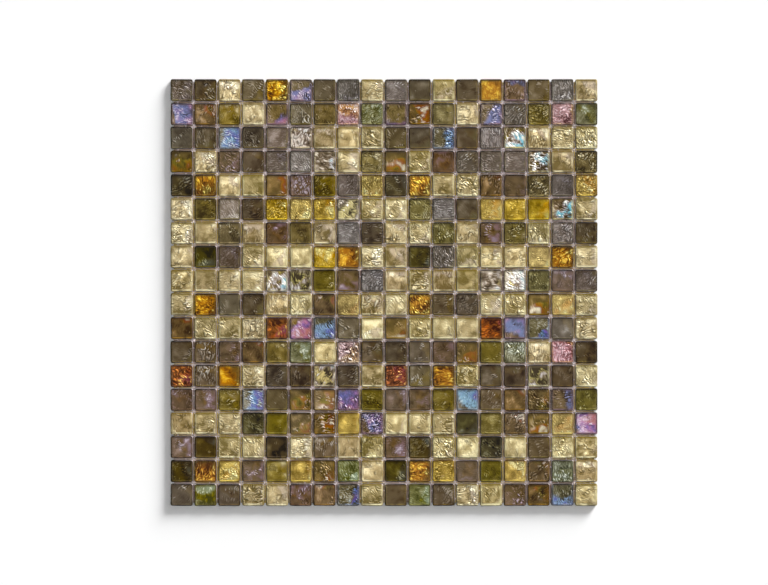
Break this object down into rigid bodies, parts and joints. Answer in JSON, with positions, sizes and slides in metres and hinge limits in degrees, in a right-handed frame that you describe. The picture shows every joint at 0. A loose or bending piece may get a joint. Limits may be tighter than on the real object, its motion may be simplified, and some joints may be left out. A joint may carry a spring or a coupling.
{
  "type": "mosaic tile sheet",
  "caption": "Square sheet of small foil-backed glass mosaic tiles in blended golds, browns and greens, spaced in rows on a glass-fibre mesh, for covering walls and floors.",
  "frame": {"origin": "middle of the sheet, on the back of the mesh, where the sheet beds on a wall or floor", "axes": "+X along a row of tiles, +Y towards the top row, +Z out of the glass faces"},
  "size_m": [0.2962, 0.296, 0.0045],
  "materials": {
    "mesh_yarn": "resin-coated glass-fibre yarn, matt white",
    "champagne_gold_glass": "clear glass over crumpled pale gold leaf",
    "yellow_gold_glass": "clear glass over yellow gold leaf",
    "amber_glass": "amber glass over gold leaf",
    "rust_red_glass": "rust red glass over copper leaf",
    "bronze_glass": "clear glass over bronze leaf",
    "umber_glass": "dark brown glass, glossy",
    "taupe_glass": "grey brown glass, glossy",
    "smoke_grey_glass": "smoke grey glass, glossy",
    "mauve_glass": "mauve brown glass, glossy",
    "olive_glass": "olive glass, glossy",
    "dark_moss_glass": "dark moss green glass, glossy",
    "sage_green_glass": "sage green glass, glossy",
    "violet_glass": "glass with a violet iridised coat",
    "sky_blue_glass": "glass with a sky blue iridised coat",
    "rose_glass": "glass with a rose iridised coat",
    "opal_glass": "pearly glass over silver leaf"
  },
  "bodies": {
    "root": {"mesh_warp_yarns": "mesh_yarn", "mesh_weft_yarns": "mesh_yarn", "champagne_gold_tiles": "champagne_gold_glass", "yellow_gold_tiles": "yellow_gold_glass", "amber_tiles": "amber_glass", "rust_red_tiles": "rust_red_glass", "bronze_tiles": "bronze_glass", "umber_tiles": "umber_glass", "taupe_tiles": "taupe_glass", "smoke_grey_tiles": "smoke_grey_glass", "mauve_tiles": "mauve_glass", "olive_tiles": "olive_glass", "dark_moss_tiles": "dark_moss_glass", "sage_green_tiles": "sage_green_glass", "violet_tiles": "violet_glass", "sky_blue_tiles": "sky_blue_glass", "rose_tiles": "rose_glass", "opal_tiles": "opal_glass"}
  },
  "joints": []
}
